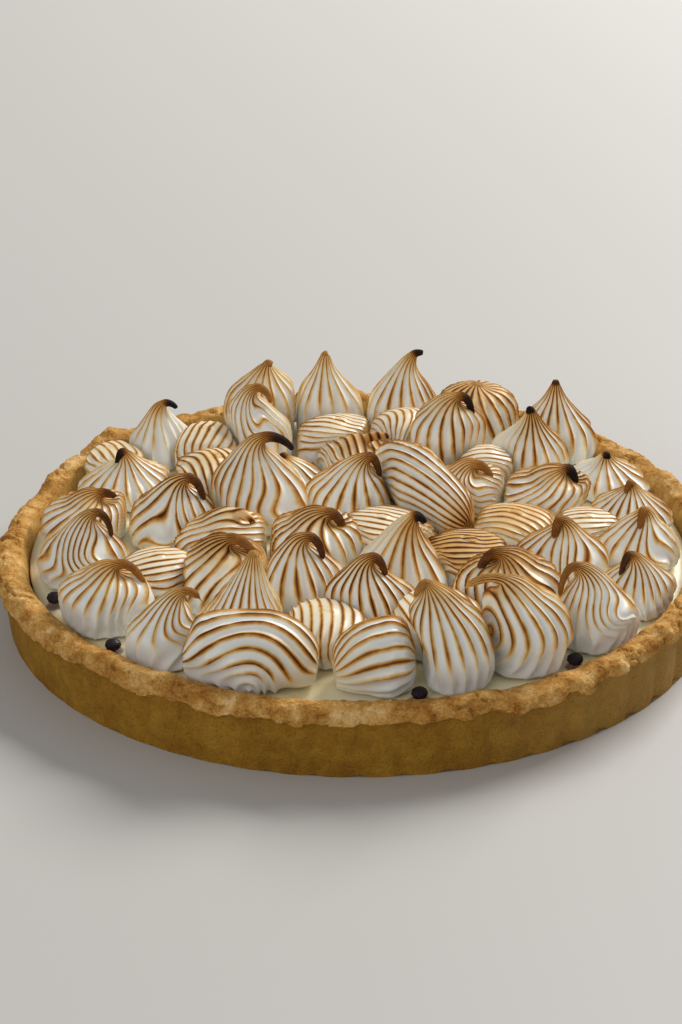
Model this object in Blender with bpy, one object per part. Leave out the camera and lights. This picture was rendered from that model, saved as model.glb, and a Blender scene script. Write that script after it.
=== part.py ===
# A meringue crostata: a fluted pastry shell, its cream filling, dark berries that
# peep out of the cream, and piped meringue peaks crowded over the top.
# Metres, +Z up. The origin is the middle of the shell's underside, and -Y faces the viewer.

import math

import bmesh
import bpy
import numpy as np

# Pastry shell
RIM_RADIUS = 0.130
WALL_RADIUS = 0.1282
BASE_RADIUS = 0.1270
INNER_RADIUS = 0.1196
SHELL_HEIGHT = 0.028
FLOOR_THICKNESS = 0.004
BASE_BEVEL = 0.0008
CROWN_INSET = 0.0048
LIP_INSET = 0.0010
INNER_BEVEL = 0.0012
INSIDE_DRAFT = 0.0030
SHARP_ANGLE = 50.0

# Flutes, crisp towards one side and almost baked flat opposite it
FLUTES = 56
COLUMNS_PER_FLUTE = 3
FLUTE_DEPTH = 0.0016
CRISP_DIRECTION = 20.0
CRISP_MEAN = 0.62
CRISP_SWING = 0.38

# Cream filling
GAP = 0.0003
CREAM_TOP = 0.0204
CREAM_SAG = 0.0008
CREAM_EDGE = 0.0022
CREAM_SHOULDER = 0.0080
CREAM_CLEARANCE = 4 * GAP
CREAM_COLUMNS = 56

# Meringue peaks, and how neighbours press each other back
MERINGUE_FLOOR = CREAM_TOP + GAP
MERINGUE_REACH = INNER_RADIUS - 0.0012
HEIGHT_DATUM = 0.0227
OVERHANG_HEIGHT = 0.0285
OVERHANG_SLOPE = 0.9
OVERHANG_SOFTNESS = 0.003
AROUND = 12
LOBE_DEPTH = 0.055
SPINE_STEPS = 14
SEAM = 0.0007
NEARBY = 2 * SEAM
PRESS_REACH = 1.5
PRESS_SHARPNESS = 7.0
PRESS_STEPS = 14
LEAST_SHARE = 0.12

# Curve handles of a standing peak, as shares of its height or its hook
FOOT_PULL = 0.45
APEX_PULL = 0.26
HOOK_PULL = 0.45
FALL_PULL = 0.4
DROOP_REACH = 0.006
UPRIGHT = 1.5

# Curve handles of a rope that lies down
ROPE_LIFT = 0.5
ROPE_START_PULL = 0.4
ROPE_APEX_PULL = 0.006
ROPE_END_PULL = 0.003
ROPE_TAIL_SHARE = 0.28
ROPE_TAIL_POWER = 1.5

# Section rings along a peak, and how fast they turn square to its spine
BODY_RINGS = (0.0, 0.12, 0.32, 0.54, 0.76, 0.94)
HOOK_RINGS = (0.20, 0.64)
HOOK_TIP_SHARE = 0.40
SQUARE_START = 1.15
SQUARE_RATE = 2.2

# Dark berries
BERRY_RADIUS = 0.0028
BERRY_FLATNESS = 0.75
BERRY_CLEARANCE = 2.5

# Colours as base colour, roughness and metallic value
PASTRY = ("pastry", (0.56, 0.33, 0.13), 0.78, 0.0)
CUSTARD = ("custard", (0.83, 0.66, 0.30), 0.42, 0.0)
MERINGUE = ("meringue", (0.88, 0.83, 0.76), 0.40, 0.0)
BERRY = ("berry", (0.035, 0.022, 0.035), 0.30, 0.0)

# Each form gives the spine fractions and the radius there as a share of the peak's radius
FORMS = {
    "kiss": ((0.0, 0.88), (0.12, 1.0), (0.32, 0.86), (0.54, 0.54), (0.76, 0.27), (1.0, 0.10)),
    "plump": ((0.0, 0.86), (0.14, 1.0), (0.36, 0.98), (0.58, 0.80), (0.80, 0.43), (1.0, 0.11)),
    "slim": ((0.0, 0.90), (0.10, 1.0), (0.28, 0.74), (0.50, 0.45), (0.75, 0.24), (1.0, 0.095)),
    "mound": ((0.0, 0.90), (0.18, 1.0), (0.44, 0.97), (0.68, 0.82), (0.86, 0.56), (1.0, 0.14)),
    "rope": ((0.0, 0.30), (0.12, 0.74), (0.36, 0.96), (0.62, 1.0), (0.84, 0.98), (1.0, 0.96)),
}

# A peak: place of the foot, radius, height above the datum, how far the apex leans,
# and the hook, which is the way from the apex to the tip.
# A rope lies down, so its foot is one end and its hook is the way to the other end.
PEAKS = (
    ("plump", (0.030, -0.1005), 0.0155, 0.034, (-0.008, -0.0005), (-0.004, -0.001, -0.004)),
    ("plump", (0.0535, -0.0885), 0.0172, 0.031, (-0.0075, -0.003), (-0.013, 0.000, -0.005)),
    ("kiss", (0.0785, -0.0725), 0.0172, 0.027, (-0.0065, -0.0025), (-0.006, -0.002, -0.010)),
    ("kiss", (0.095, -0.0475), 0.0170, 0.018, (-0.002, -0.0015), (-0.004, -0.002, -0.008)),
    ("rope", (0.018, -0.102), 0.0150, 0.020, (-0.012, 0.000), (-0.014, -0.003, -0.003)),
    ("rope", (-0.056, -0.103), 0.0158, 0.023, (0.025, 0.002), (0.018, -0.002, -0.005)),
    ("slim", (-0.038, -0.080), 0.0220, 0.033, (0.004, 0.002), (0.001, 0.000, 0.001)),
    ("kiss", (-0.0625, -0.085), 0.0160, 0.023, (0.0055, 0.000), (0.008, -0.001, -0.008)),
    ("plump", (-0.085, -0.061), 0.0175, 0.021, (0.004, 0.000), (0.010, -0.001, -0.010)),
    ("kiss", (-0.0955, -0.0285), 0.0180, 0.024, (0.0035, 0.0015), (0.006, -0.001, -0.009)),
    ("plump", (-0.099, 0.0075), 0.0185, 0.016, (0.005, -0.0005), (0.006, -0.001, -0.001)),
    ("kiss", (-0.087, 0.041), 0.0205, 0.017, (-0.001, 0.000), (-0.003, -0.001, -0.006)),
    ("slim", (-0.076, 0.077), 0.0190, 0.022, (0.000, 0.000), (0.005, 0.000, -0.002)),
    ("mound", (-0.057, 0.070), 0.0190, 0.016, (-0.002, 0.000), (0.001, 0.000, 0.000)),
    ("kiss", (-0.067, 0.007), 0.0215, 0.022, (0.004, 0.000), (0.007, -0.001, -0.010)),
    ("plump", (-0.046, -0.016), 0.0200, 0.019, (0.003, 0.000), (0.006, -0.001, -0.004)),
    ("plump", (-0.044, -0.045), 0.0205, 0.023, (0.000, 0.000), (0.010, -0.003, -0.009)),
    ("mound", (-0.068, -0.040), 0.0185, 0.015, (-0.001, 0.000), (0.001, 0.000, 0.000)),
    ("kiss", (-0.036, 0.020), 0.0225, 0.032, (0.001, 0.001), (0.011, 0.000, -0.005)),
    ("kiss", (-0.024, 0.048), 0.0180, 0.012, (-0.004, 0.000), (-0.002, -0.001, -0.006)),
    ("mound", (-0.054, 0.041), 0.0200, 0.017, (0.001, 0.000), (0.003, 0.000, -0.001)),
    ("plump", (-0.037, 0.099), 0.0175, 0.030, (0.001, 0.000), (0.002, 0.000, 0.000)),
    ("kiss", (-0.040, 0.076), 0.0195, 0.029, (0.000, 0.000), (0.006, -0.001, -0.006)),
    ("kiss", (-0.012, 0.101), 0.0190, 0.033, (-0.001, 0.000), (0.001, 0.000, 0.001)),
    ("kiss", (0.018, 0.101), 0.0190, 0.033, (0.004, 0.000), (0.004, 0.000, 0.001)),
    ("mound", (0.047, 0.092), 0.0200, 0.025, (0.000, 0.000), (0.002, 0.000, -0.001)),
    ("plump", (0.036, 0.062), 0.0185, 0.031, (0.002, 0.000), (0.006, -0.001, -0.011)),
    ("kiss", (0.077, 0.079), 0.0190, 0.029, (0.000, 0.000), (0.000, 0.000, 0.002)),
    ("kiss", (0.065, 0.059), 0.0205, 0.026, (0.001, 0.000), (-0.001, -0.001, 0.002)),
    ("kiss", (0.095, 0.047), 0.0200, 0.013, (-0.001, 0.000), (0.001, -0.001, -0.001)),
    ("plump", (0.066, 0.028), 0.0210, 0.016, (0.011, 0.000), (0.004, -0.002, -0.005)),
    ("kiss", (0.099, 0.0155), 0.0180, 0.015, (0.001, 0.0005), (-0.002, -0.002, -0.005)),
    ("kiss", (0.0975, -0.0145), 0.0180, 0.019, (0.0035, -0.0005), (-0.002, -0.004, -0.010)),
    ("kiss", (0.070, -0.027), 0.0215, 0.021, (0.001, 0.000), (-0.003, -0.003, -0.010)),
    ("mound", (0.059, 0.001), 0.0195, 0.012, (-0.002, 0.000), (0.002, 0.000, 0.000)),
    ("plump", (0.050, -0.056), 0.0210, 0.023, (-0.002, 0.000), (-0.008, -0.002, -0.008)),
    ("mound", (0.037, -0.025), 0.0205, 0.014, (0.002, 0.000), (0.002, 0.000, 0.000)),
    ("slim", (0.015, -0.034), 0.0225, 0.026, (0.004, 0.000), (0.004, -0.001, -0.002)),
    ("kiss", (0.004, -0.062), 0.0215, 0.024, (0.000, 0.000), (0.005, -0.001, -0.006)),
    ("kiss", (-0.019, -0.048), 0.0205, 0.025, (0.001, 0.000), (0.006, -0.001, -0.008)),
    ("plump", (-0.016, -0.016), 0.0220, 0.019, (0.005, 0.000), (0.006, -0.002, -0.007)),
    ("kiss", (-0.004, 0.030), 0.0215, 0.020, (0.007, 0.000), (0.005, -0.001, -0.008)),
    ("plump", (-0.001, 0.057), 0.0195, 0.016, (0.004, 0.000), (0.009, 0.000, 0.001)),
    ("mound", (-0.010, 0.078), 0.0195, 0.016, (0.003, 0.000), (0.002, 0.000, 0.000)),
    ("rope", (0.008, 0.047), 0.0145, 0.022, (0.013, -0.019), (0.020, -0.026, -0.006)),
    ("plump", (0.046, 0.032), 0.0180, 0.016, (-0.002, 0.000), (0.006, -0.004, -0.006)),
    ("mound", (0.016, 0.073), 0.0180, 0.021, (0.003, 0.000), (0.001, 0.000, 0.000)),
    ("mound", (0.083, 0.000), 0.0170, 0.011, (0.000, 0.000), (0.001, 0.000, 0.000)),
    ("mound", (0.048, 0.050), 0.0175, 0.015, (0.002, 0.000), (0.001, 0.000, 0.000)),
    ("mound", (0.010, -0.004), 0.0200, 0.013, (-0.001, 0.000), (0.001, 0.000, 0.000)),
    ("mound", (-0.012, -0.079), 0.0200, 0.015, (0.002, 0.000), (0.001, 0.000, 0.000)),
    ("mound", (0.027, -0.076), 0.0195, 0.018, (-0.003, 0.000), (-0.001, 0.000, 0.000)),
    ("mound", (-0.095, 0.062), 0.0160, 0.011, (0.000, 0.000), (0.001, 0.000, 0.000)),
)

BERRIES = (
    (0.0193, -0.1133),
    (-0.1042, -0.0480),
    (-0.0807, -0.0815),
    (0.0703, -0.0916),
)

# Rim wander as waves round the shell: cycles, phase and share
LIP_WAVES = ((5, 0.4, 0.30), (11, 1.9, 0.30), (23, 2.6, 0.45), (37, 0.7, 0.35), (61, 4.1, 0.30))
TOP_WAVES = ((3, 2.2, 0.45), (8, 0.6, 0.30), (19, 1.3, 0.40), (31, 3.3, 0.35), (53, 5.0, 0.25))
LIP_WANDER = 0.0009
TOP_WANDER = 0.0011

# Places where the rim stands up, sinks or spreads: direction, half width, rise and spread
RIM_MARKS = (
    (142.0, 3.2, 0.0060, 0.0010),
    (168.0, 9.0, -0.0035, 0.0),
    (-158.0, 16.0, -0.0006, 0.0032),
    (-135.0, 5.0, -0.0014, 0.0),
    (96.0, 5.0, 0.0020, 0.0),
    (-20.0, 6.0, 0.0012, 0.0010),
    (-92.0, 34.0, -0.0018, 0.0),
    (-52.0, 18.0, -0.0018, 0.0),
)

# Crust section from the underside over the rim to the inside:
# radius, height, share of the flutes, of the wander and of the marks' rise
CRUST_SECTION = (
    (BASE_RADIUS - BASE_BEVEL, 0.0, 0.60, 0.0, 0.0),
    (BASE_RADIUS, BASE_BEVEL, 0.80, 0.0, 0.0),
    (WALL_RADIUS, SHELL_HEIGHT * 0.66, 1.0, 0.15, 0.0),
    (RIM_RADIUS, SHELL_HEIGHT * 0.77, 0.45, 1.0, 0.40),
    (RIM_RADIUS - LIP_INSET, SHELL_HEIGHT * 0.93, 0.20, 1.0, 0.85),
    (RIM_RADIUS - CROWN_INSET, SHELL_HEIGHT, 0.0, 0.9, 1.0),
    (INNER_RADIUS + INNER_BEVEL, SHELL_HEIGHT * 0.94, 0.0, 0.6, 0.9),
    (INNER_RADIUS, SHELL_HEIGHT * 0.78, 0.0, 0.0, 0.4),
    (INNER_RADIUS - INSIDE_DRAFT, FLOOR_THICKNESS, 0.0, 0.0, 0.0),
)


def clear_scene():
    for item in list(bpy.data.objects):
        bpy.data.objects.remove(item, do_unlink=True)


def make_material(name, colour, roughness, metallic):
    material = bpy.data.materials.get(name) or bpy.data.materials.new(name)
    material.use_nodes = True
    shader = material.node_tree.nodes["Principled BSDF"]
    shader.inputs["Base Color"].default_value = (*colour, 1.0)
    shader.inputs["Roughness"].default_value = roughness
    shader.inputs["Metallic"].default_value = metallic
    return material


def add_object(name, shape, finish):
    # Turn the faces out, shade them smooth and link the object with its material
    bmesh.ops.recalc_face_normals(shape, faces=shape.faces)
    mesh = bpy.data.meshes.new(name)
    shape.to_mesh(mesh)
    shape.free()
    mesh.shade_smooth()
    mesh.set_sharp_from_angle(angle=math.radians(SHARP_ANGLE))
    mesh.materials.append(make_material(*finish))
    item = bpy.data.objects.new(name, mesh)
    bpy.context.scene.collection.objects.link(item)
    return item


def loft(rings, start_point, end_point):
    # Bridge closed rings of equal count and close both ends on a point
    shape = bmesh.new()
    loops = [[shape.verts.new(point) for point in ring] for ring in rings]
    for lower, upper in zip(loops, loops[1:]):
        for k in range(len(lower)):
            n = (k + 1) % len(lower)
            shape.faces.new((lower[k], lower[n], upper[n], upper[k]))
    for loop, point in ((loops[0], start_point), (loops[-1], end_point)):
        pole = shape.verts.new(point)
        for k in range(len(loop)):
            shape.faces.new((pole, loop[k], loop[(k + 1) % len(loop)]))
    bmesh.ops.triangulate(shape, faces=shape.faces)
    return shape


def wave_sum(angle, waves):
    return sum(share * math.sin(cycles * angle + phase) for cycles, phase, share in waves)


def rim_mark(angle):
    # Rise and spread of the rim, summed over the smooth bumps and dips along it
    rise = 0.0
    spread = 0.0
    for direction, half_width, height, reach in RIM_MARKS:
        away = math.degrees(math.remainder(angle - math.radians(direction), math.tau))
        share = math.exp(-((away / half_width) ** 2))
        rise += height * share
        spread += reach * share
    return rise, spread


def flute_strength(angle):
    return CRISP_MEAN + CRISP_SWING * math.cos(angle - math.radians(CRISP_DIRECTION))


def crust_ring(radius, height, flute_share, wander_share, rise_share):
    points = []
    count = FLUTES * COLUMNS_PER_FLUTE
    for k in range(count):
        angle = math.tau * k / count
        rise, spread = rim_mark(angle)
        groove = FLUTE_DEPTH * flute_strength(angle) if k % COLUMNS_PER_FLUTE == 0 else 0.0
        reach = radius - groove * flute_share
        reach += wander_share * (LIP_WANDER * wave_sum(angle, LIP_WAVES) + spread)
        level = height + wander_share * TOP_WANDER * wave_sum(angle, TOP_WAVES)
        level += rise_share * rise
        points.append((reach * math.cos(angle), reach * math.sin(angle), level))
    return points


def build_crust():
    rings = [crust_ring(*row) for row in CRUST_SECTION]
    shape = loft(rings, (0.0, 0.0, 0.0), (0.0, 0.0, FLOOR_THICKNESS))
    return add_object("crust", shape, PASTRY)


def plain_ring(radius, height, count):
    turns = [math.tau * k / count for k in range(count)]
    return [(radius * math.cos(turn), radius * math.sin(turn), height) for turn in turns]


def build_cream():
    # The filling runs across the whole shell and sags a little where it meets the pastry
    bottom = FLOOR_THICKNESS + GAP
    section = (
        (INNER_RADIUS - INSIDE_DRAFT - GAP, bottom),
        (INNER_RADIUS - CREAM_CLEARANCE, CREAM_TOP - 2 * CREAM_SAG),
        (INNER_RADIUS - CREAM_EDGE, CREAM_TOP - CREAM_SAG),
        (INNER_RADIUS - CREAM_SHOULDER, CREAM_TOP),
    )
    rings = [plain_ring(radius, height, CREAM_COLUMNS) for radius, height in section]
    shape = loft(rings, (0.0, 0.0, bottom), (0.0, 0.0, CREAM_TOP))
    return add_object("cream", shape, CUSTARD)


def bezier(start, handle_a, handle_b, end, steps):
    t = np.asarray(steps)[:, None]
    s = 1.0 - t
    return s**3 * start + 3 * s * s * t * handle_a + 3 * s * t * t * handle_b + t**3 * end


def unit(vector):
    return vector / max(np.linalg.norm(vector), 1e-9)


def peak_ends(peak):
    # Start, apex and tip of the spine
    form, foot, radius, height, lean, hook = peak
    lift = ROPE_LIFT * radius if form == "rope" else 0.0
    start = np.array((foot[0], foot[1], MERINGUE_FLOOR + lift))
    crown = HEIGHT_DATUM + height - radius * FORMS[form][-1][1]
    apex = np.array((foot[0] + lean[0], foot[1] + lean[1], crown))
    return start, apex, apex + np.array(hook)


def rope_path(peak):
    start, apex, tip = peak_ends(peak)
    run = unit(tip - start) * np.array((1.0, 1.0, 0.0))
    rise = run * ROPE_START_PULL * np.linalg.norm(apex - start)
    fall = run * HOOK_PULL * np.linalg.norm(tip - apex)
    first = (start, start + rise, apex - run * ROPE_APEX_PULL, apex)
    second = (apex, apex + fall, tip - run * ROPE_END_PULL, tip)
    return first, second


def peak_path(peak):
    # Handles of the two curves that carry a peak: foot to apex, then apex to tip
    if peak[0] == "rope":
        return rope_path(peak)
    start, apex, tip = peak_ends(peak)
    height = peak[3]
    up = np.array((0.0, 0.0, 1.0))
    hook = tip - apex
    level = np.array((hook[0], hook[1], 0.0))
    droop = min(1.0, np.linalg.norm(level) / DROOP_REACH)
    heading = unit(unit(level) * droop + up * (UPRIGHT - droop))
    first = (start, start + up * FOOT_PULL * height, apex - heading * APEX_PULL * height, apex)
    fall = tip - up * FALL_PULL * min(0.0, hook[2])
    second = (apex, apex + heading * HOOK_PULL * np.linalg.norm(hook), fall, tip)
    return first, second


def smooth_share(knots, s):
    # Cubic through the knots with slopes taken from their neighbours
    x = np.array([k[0] for k in knots])
    y = np.array([k[1] for k in knots])
    slope = np.gradient(y, x)
    i = np.clip(np.searchsorted(x, s, side="right") - 1, 0, len(x) - 2)
    span = x[i + 1] - x[i]
    t = (s - x[i]) / span
    rise = (2 * t**3 - 3 * t**2 + 1) * y[i] + (t**3 - 2 * t**2 + t) * span * slope[i]
    return rise + (-2 * t**3 + 3 * t**2) * y[i + 1] + (t**3 - t**2) * span * slope[i + 1]


def peak_spine(peak, body_steps, hook_steps):
    # Places along the spine with their radius
    form, radius = peak[0], peak[2]
    first, second = peak_path(peak)
    body = np.asarray(body_steps)
    hook = np.asarray(hook_steps)
    places = np.vstack((bezier(*first, body), bezier(*second, hook)))
    share = smooth_share(FORMS[form], body)
    end_share = FORMS[form][-1][1]
    if form == "rope":
        tail = end_share + (ROPE_TAIL_SHARE - end_share) * hook**ROPE_TAIL_POWER
    else:
        tail = end_share * (1.0 + (HOOK_TIP_SHARE - 1.0) * hook)
    return places, radius * np.concatenate((share, tail))


def sample_spines():
    # Beads along every spine, and the berries as single beads
    body = np.linspace(0.0, 1.0, SPINE_STEPS)
    hook = np.linspace(0.0, 1.0, SPINE_STEPS)[1:]
    beads = [peak_spine(peak, body, hook) for peak in PEAKS]
    for x, y in BERRIES:
        level = MERINGUE_FLOOR + BERRY_RADIUS * BERRY_FLATNESS
        beads.append((np.array([(x, y, level)]), np.array([BERRY_RADIUS * BERRY_CLEARANCE])))
    return beads


def bead_distance(points, beads):
    places, radii = beads
    away = np.linalg.norm(points[:, None, :] - places[None, :, :], axis=2)
    return (away - radii[None, :]).min(axis=1)


def room_left(points, index, beads, near):
    # Positive where a point is nearer to its own peak than to any neighbour or the rim
    own = bead_distance(points, beads[index])
    room = np.full(len(points), 1.0)
    for other in near:
        room = np.minimum(room, bead_distance(points, beads[other]) - own - SEAM)
    above = points[:, 2] - OVERHANG_HEIGHT
    overhang = OVERHANG_SLOPE * 0.5 * (np.hypot(above, OVERHANG_SOFTNESS) + above)
    reach = np.hypot(points[:, 0], points[:, 1])
    return np.minimum(room, MERINGUE_REACH + overhang - reach)


def close_neighbours(index, beads):
    places, radii = beads[index]
    near = []
    for other, (far_places, far_radii) in enumerate(beads):
        if other == index:
            continue
        away = np.linalg.norm(places[:, None, :] - far_places[None, :, :], axis=2)
        if (away - radii[:, None] - far_radii[None, :]).min() < NEARBY:
            near.append(other)
    return near


def press_back(points, centres, index, beads):
    # Draw each point towards its spine, rounded off, so that it clears the neighbours
    near = close_neighbours(index, beads)
    low = np.zeros(len(points))
    high = np.full(len(points), PRESS_REACH)
    free = room_left(centres + (points - centres) * PRESS_REACH, index, beads, near) >= 0.0
    for _ in range(PRESS_STEPS):
        middle = 0.5 * (low + high)
        fits = room_left(centres + (points - centres) * middle[:, None], index, beads, near) >= 0.0
        low = np.where(fits, middle, low)
        high = np.where(fits, high, middle)
    limit = np.maximum(np.where(free, PRESS_REACH, low), LEAST_SHARE)
    share = (1.0 + limit**-PRESS_SHARPNESS) ** (-1.0 / PRESS_SHARPNESS)
    return centres + (points - centres) * share[:, None]


def ring_frames(peak, places, radii):
    # Two section axes at each place: level where the peak is wide, square to the spine
    # where it is thin, so that neighbouring sections never cross
    along = np.gradient(places, axis=0)
    up = np.array((0.0, 0.0, 1.0))
    lying = peak[0] == "rope"
    side = up if lying else np.array((1.0, 0.0, 0.0))
    frames = []
    for direction, radius in zip(along, radii):
        turn = 1.0 if lying else min(1.0, max(0.0, SQUARE_START - SQUARE_RATE * radius / peak[2]))
        normal = unit(unit(direction) * turn + up * (1.0 - turn))
        side = unit(side - normal * np.dot(side, normal))
        frames.append((side, np.cross(normal, side)))
    return frames


def peak_rings(peak):
    places, radii = peak_spine(peak, BODY_RINGS, HOOK_RINGS)
    rings = []
    for place, radius, axes in zip(places, radii, ring_frames(peak, places, radii)):
        side, across = axes
        for k in range(AROUND):
            angle = math.tau * k / AROUND
            reach = radius * (1.0 - LOBE_DEPTH * (k % 2))
            rings.append(place + reach * (math.cos(angle) * side + math.sin(angle) * across))
    points = np.array(rings)
    points[:, 2] = np.maximum(points[:, 2], MERINGUE_FLOOR)
    return points, np.repeat(places, AROUND, axis=0)


def build_peak(index, beads):
    peak = PEAKS[index]
    points, centres = peak_rings(peak)
    points = press_back(points, centres, index, beads)
    rings = points.reshape(-1, AROUND, 3)
    tip = peak_path(peak)[1][3]
    foot = rings[0].mean(axis=0)
    shape = loft([[tuple(p) for p in ring] for ring in rings], tuple(foot), tuple(tip))
    return add_object(f"dollop_{index + 1:02d}", shape, MERINGUE)


def build_berry(index):
    shape = bmesh.new()
    bmesh.ops.create_icosphere(shape, subdivisions=2, radius=BERRY_RADIUS)
    bmesh.ops.scale(shape, vec=(1.0, 1.0, BERRY_FLATNESS), verts=shape.verts)
    x, y = BERRIES[index]
    level = MERINGUE_FLOOR + BERRY_RADIUS * BERRY_FLATNESS
    bmesh.ops.translate(shape, vec=(x, y, level), verts=shape.verts)
    return add_object(f"dark_berry_{index + 1}", shape, BERRY)


def build_crostata():
    clear_scene()
    build_crust()
    build_cream()
    beads = sample_spines()
    for index in range(len(PEAKS)):
        build_peak(index, beads)
    for index in range(len(BERRIES)):
        build_berry(index)


build_crostata()
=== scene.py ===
import math

import bpy
import numpy as np
from mathutils import Matrix, Vector


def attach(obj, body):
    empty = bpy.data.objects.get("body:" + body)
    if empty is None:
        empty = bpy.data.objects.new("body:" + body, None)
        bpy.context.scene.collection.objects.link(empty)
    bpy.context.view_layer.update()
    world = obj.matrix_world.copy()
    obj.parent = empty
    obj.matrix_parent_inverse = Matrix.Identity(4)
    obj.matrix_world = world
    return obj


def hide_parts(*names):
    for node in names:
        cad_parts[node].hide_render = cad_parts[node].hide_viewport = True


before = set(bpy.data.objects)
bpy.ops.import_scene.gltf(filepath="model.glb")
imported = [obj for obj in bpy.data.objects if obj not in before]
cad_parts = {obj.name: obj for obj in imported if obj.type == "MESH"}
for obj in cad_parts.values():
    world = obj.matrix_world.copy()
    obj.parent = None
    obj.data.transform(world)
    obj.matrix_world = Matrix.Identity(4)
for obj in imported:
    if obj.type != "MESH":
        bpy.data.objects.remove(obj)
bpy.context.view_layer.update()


class Wire:
    # A node's output; sums, products and powers of wires add their Math nodes
    def __init__(self, sheet, socket):
        self.sheet = sheet
        self.socket = socket

    def maths(self, kind, first, second=None, third=None):
        inputs = {0: first}
        if second is not None:
            inputs[1] = second
        if third is not None:
            inputs[2] = third
        return self.sheet.wire("ShaderNodeMath", {"operation": kind}, inputs)

    def __add__(self, other):
        return self.maths("ADD", self, other)

    def __radd__(self, other):
        return self.maths("ADD", other, self)

    def __sub__(self, other):
        return self.maths("SUBTRACT", self, other)

    def __rsub__(self, other):
        return self.maths("SUBTRACT", other, self)

    def __mul__(self, other):
        return self.maths("MULTIPLY", self, other)

    def __rmul__(self, other):
        return self.maths("MULTIPLY", other, self)

    def __truediv__(self, other):
        return self.maths("DIVIDE", self, other)

    def __pow__(self, other):
        return self.maths("POWER", self, other)

    def least(self, other):
        return self.maths("MINIMUM", self, other)

    def most(self, other):
        return self.maths("MAXIMUM", self, other)

    def held(self):
        return self.least(1.0).most(0.0)

    def size(self):
        return self.maths("ABSOLUTE", self)

    def root(self):
        return self.maths("SQRT", self)

    def between(self, low, high, first=0.0, last=1.0):
        # Eased from first to last while the value goes from low to high
        settings = {"interpolation_type": "SMOOTHSTEP"}
        inputs = {0: self, 1: low, 2: high, 3: first, 4: last}
        return self.sheet.wire("ShaderNodeMapRange", settings, inputs)


class Sheet:
    # A node tree with one way to add any node
    def __init__(self, tree):
        self.tree = tree
        self.tree.nodes.clear()

    def node(self, kind, settings=None, inputs=None):
        made = self.tree.nodes.new(kind)
        for name, value in (settings or {}).items():
            if name == "stops":
                self.setStops(made.color_ramp, value)
            else:
                setattr(made, name, value)
        for name, value in (inputs or {}).items():
            if isinstance(value, Wire):
                self.tree.links.new(value.socket, made.inputs[name])
            else:
                made.inputs[name].default_value = value
        return made

    def wire(self, kind, settings=None, inputs=None, output=0):
        return Wire(self, self.node(kind, settings, inputs).outputs[output])

    def setStops(self, ramp, stops):
        while len(ramp.elements) < len(stops):
            ramp.elements.new(0.5)
        for element, (place, colour) in zip(ramp.elements, stops):
            element.position = place
            element.color = (*colour, 1.0)

    def ramp(self, value, stops):
        return self.wire("ShaderNodeValToRGB", {"stops": stops}, {0: value})

    def blend(self, share, first, second):
        # Colours mix here, because a Math node would turn them grey
        settings = {"data_type": "RGBA", "blend_type": "MIX"}
        first = first if isinstance(first, Wire) else (*first, 1.0)
        second = second if isinstance(second, Wire) else (*second, 1.0)
        return self.wire("ShaderNodeMix", settings, {0: share, 6: first, 7: second}, 2)

    def noise(self, place, scale, detail=3.0, rough=0.55):
        inputs = {"Vector": place, "Scale": scale, "Detail": detail, "Roughness": rough}
        return self.wire("ShaderNodeTexNoise", None, inputs)

    def objectPlace(self):
        return self.wire("ShaderNodeTexCoord", None, None, 3)

    def parts(self, vector):
        split = self.node("ShaderNodeSeparateXYZ", None, {0: vector})
        return [Wire(self, split.outputs[k]) for k in range(3)]

    def attribute(self, name):
        # A stored vector's parts, in a material
        return self.parts(self.wire("ShaderNodeAttribute", {"attribute_name": name}, None, 1))

    def namedAttribute(self, name):
        # A stored vector's parts, in a Geometry Nodes tree
        settings = {"data_type": "FLOAT_VECTOR"}
        return self.parts(self.wire("GeometryNodeInputNamedAttribute", settings, {0: name}))

    def distance(self, first, second):
        return self.wire("ShaderNodeVectorMath", {"operation": "DISTANCE"}, {0: first, 1: second}, 1)

    def scaled(self, vector, factor):
        return self.wire("ShaderNodeVectorMath", {"operation": "SCALE"}, {0: vector, 3: factor})

    def bump(self, height, depth, strength):
        inputs = {"Height": height, "Distance": depth, "Strength": strength}
        return self.wire("ShaderNodeBump", None, inputs)

    def surface(self, inputs):
        shader = self.wire("ShaderNodeBsdfPrincipled", None, inputs)
        self.node("ShaderNodeOutputMaterial", None, {"Surface": shader})

    def pushed(self, shape, distance, finish):
        # Moves each point along its normal, then gives the real mesh its material
        push = self.scaled(self.wire("GeometryNodeInputNormal"), distance)
        moved = self.wire("GeometryNodeSetPosition", None, {0: shape, 3: push})
        real = self.wire("GeometryNodeRealizeInstances", None, {0: moved})
        coloured = self.wire("GeometryNodeSetMaterial", None, {0: real, 2: finish})
        self.node("NodeGroupOutput", None, {0: coloured})


def newFinish(name):
    material = bpy.data.materials.new(name)
    material.use_nodes = True
    return material, Sheet(material.node_tree)


def newTree(name, sizes):
    # A Geometry Nodes tree with a named input for the finish and one for each size
    tree = bpy.data.node_groups.new(name, "GeometryNodeTree")
    face = tree.interface
    face.new_socket("Geometry", in_out="INPUT", socket_type="NodeSocketGeometry")
    face.new_socket("Geometry", in_out="OUTPUT", socket_type="NodeSocketGeometry")
    face.new_socket("Finish", in_out="INPUT", socket_type="NodeSocketMaterial")
    for label in sizes:
        face.new_socket(label, in_out="INPUT", socket_type="NodeSocketFloat")
    sheet = Sheet(tree)
    given = sheet.node("NodeGroupInput")
    return tree, sheet, [Wire(sheet, given.outputs[k]) for k in range(len(sizes) + 2)]


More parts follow.
